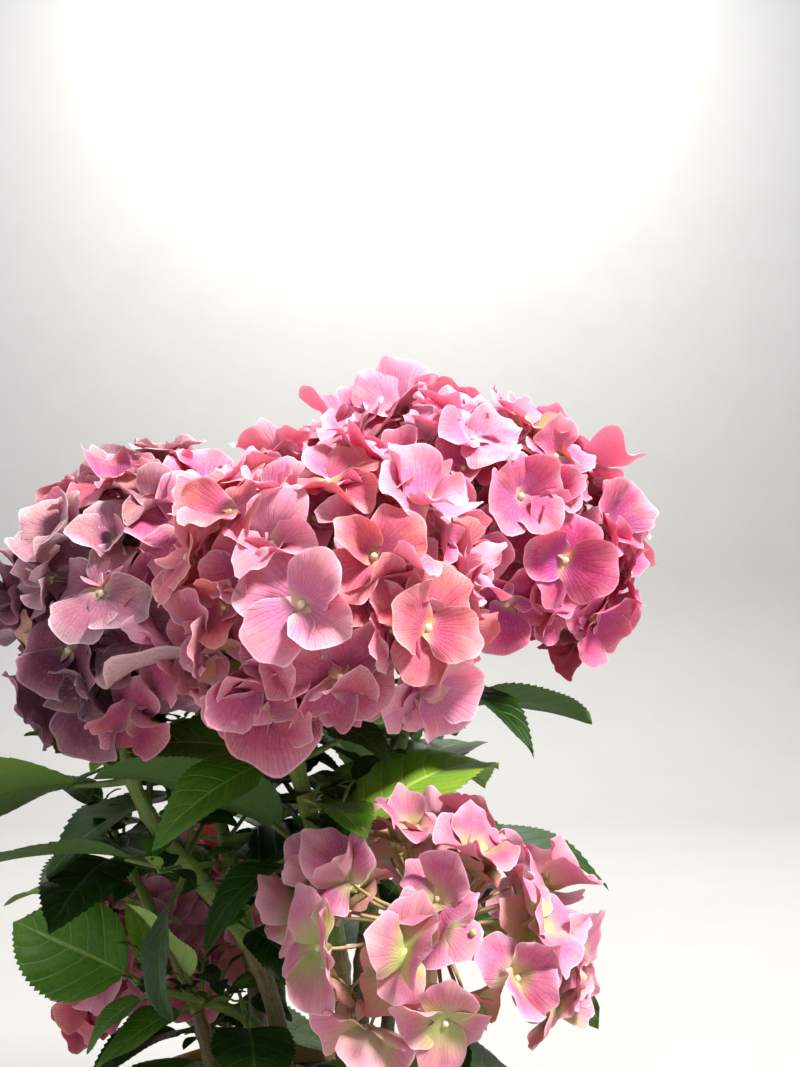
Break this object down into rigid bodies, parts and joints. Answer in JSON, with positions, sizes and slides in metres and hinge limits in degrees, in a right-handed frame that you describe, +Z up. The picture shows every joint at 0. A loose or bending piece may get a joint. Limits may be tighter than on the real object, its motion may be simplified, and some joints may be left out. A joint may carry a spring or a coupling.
{
  "type": "potted hydrangea shrub",
  "caption": "Leafy shrub with upright canes and rounded mophead blooms, growing in a round tapered pot.",
  "frame": {"origin": "middle of the pot's flat underside", "axes": "+Z up the plant, -Y towards the viewer, +X to the viewer's right"},
  "size_m": [0.3902, 0.3817, 0.6321],
  "materials": {
    "pot_plastic": "satin",
    "potting_mix": "rough grit",
    "cane_bark": "matte bark",
    "foliage": "soft sheen",
    "pink_bloom": "matte petal",
    "pale_bloom": "matte petal",
    "mauve_bloom": "matte petal"
  },
  "bodies": {
    "root": {"pot": "pot_plastic", "potting_mix": "potting_mix", "cane_side": "cane_bark", "cane_left": "cane_bark", "cane_front": "cane_bark", "cane_right": "cane_bark", "cane_low": "cane_bark", "cane_rear_left": "cane_bark", "cane_rear_low": "cane_bark", "cane_rear_right": "cane_bark", "cane_left_leafy": "cane_bark", "cane_rear_leafy": "cane_bark", "bloom_left": "mauve_bloom", "bloom_front": "pink_bloom", "bloom_right": "pink_bloom", "bloom_low": "pale_bloom", "bloom_rear_left": "pink_bloom", "bloom_rear_low": "pale_bloom", "foliage_side": "foliage", "foliage_left": "foliage", "foliage_front": "foliage", "foliage_right": "foliage", "foliage_low": "foliage", "foliage_rear_left": "foliage", "foliage_rear_low": "foliage", "foliage_rear_right": "foliage", "foliage_left_leafy": "foliage", "foliage_rear_leafy": "foliage"}
  },
  "joints": []
}
